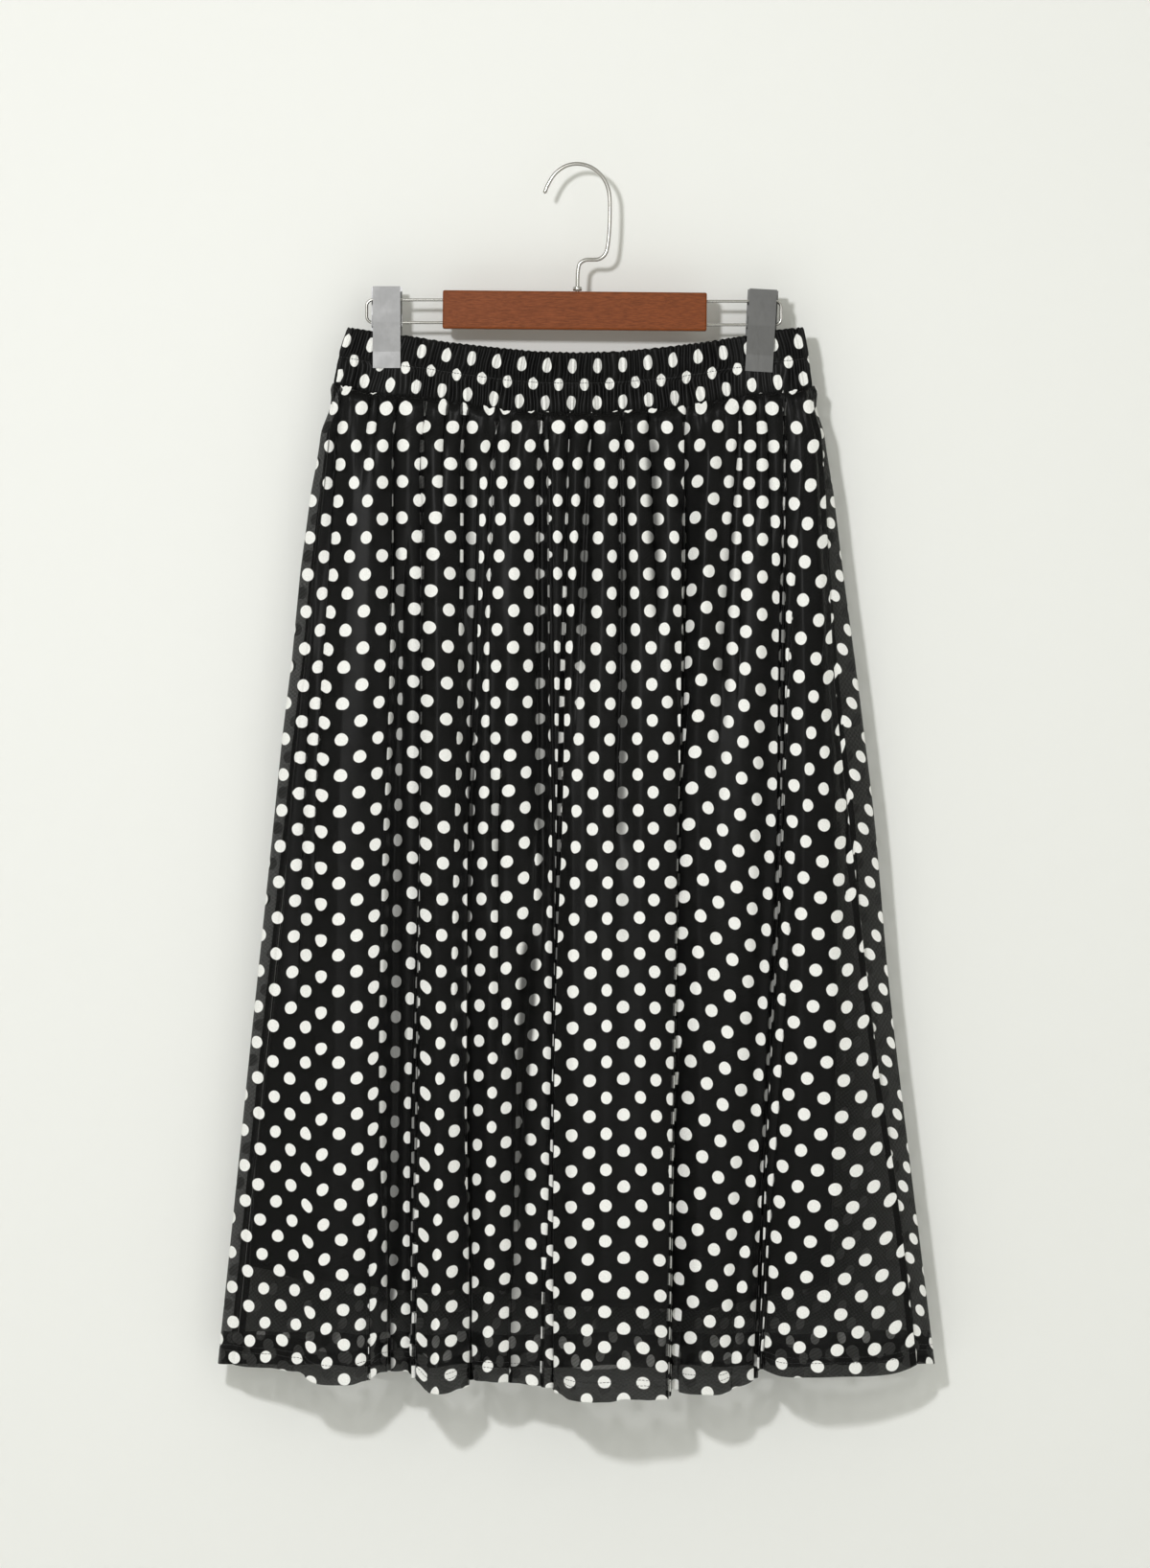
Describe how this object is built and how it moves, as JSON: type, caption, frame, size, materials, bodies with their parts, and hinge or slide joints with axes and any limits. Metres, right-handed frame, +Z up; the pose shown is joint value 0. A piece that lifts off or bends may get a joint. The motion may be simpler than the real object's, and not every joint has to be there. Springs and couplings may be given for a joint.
{
  "type": "gathered A-line skirt with the clip hanger that holds it",
  "caption": "Black mesh A-line skirt with white dots, a wide gathered waistband and a plain lining, on a wooden clip hanger.",
  "frame": {"origin": "inner top of the hook's curve, where a rail holds it", "axes": "+Z up, -Y towards the front of the skirt, +X to the right as seen from the front"},
  "size_m": [0.5609, 0.0762, 0.9682],
  "materials": {
    "dotted_mesh": "sheer black knit mesh with white dots",
    "lining": "smooth black knit",
    "wood": "satin reddish brown",
    "wire": "bright plated wire",
    "clip_steel": "satin pressed steel"
  },
  "bodies": {
    "root": {"waistband": "dotted_mesh", "skirt_front": "dotted_mesh", "skirt_back": "dotted_mesh", "lining_front": "lining", "lining_back": "lining", "hanger_bar": "wood", "hanger_hook": "wire", "hanger_collar": "wire", "hanger_loop_left": "wire", "hanger_loop_right": "wire", "clip_front_left": "clip_steel", "clip_back_left": "clip_steel", "clip_spring_left": "wire", "clip_front_right": "clip_steel", "clip_back_right": "clip_steel", "clip_spring_right": "wire"}
  },
  "joints": []
}
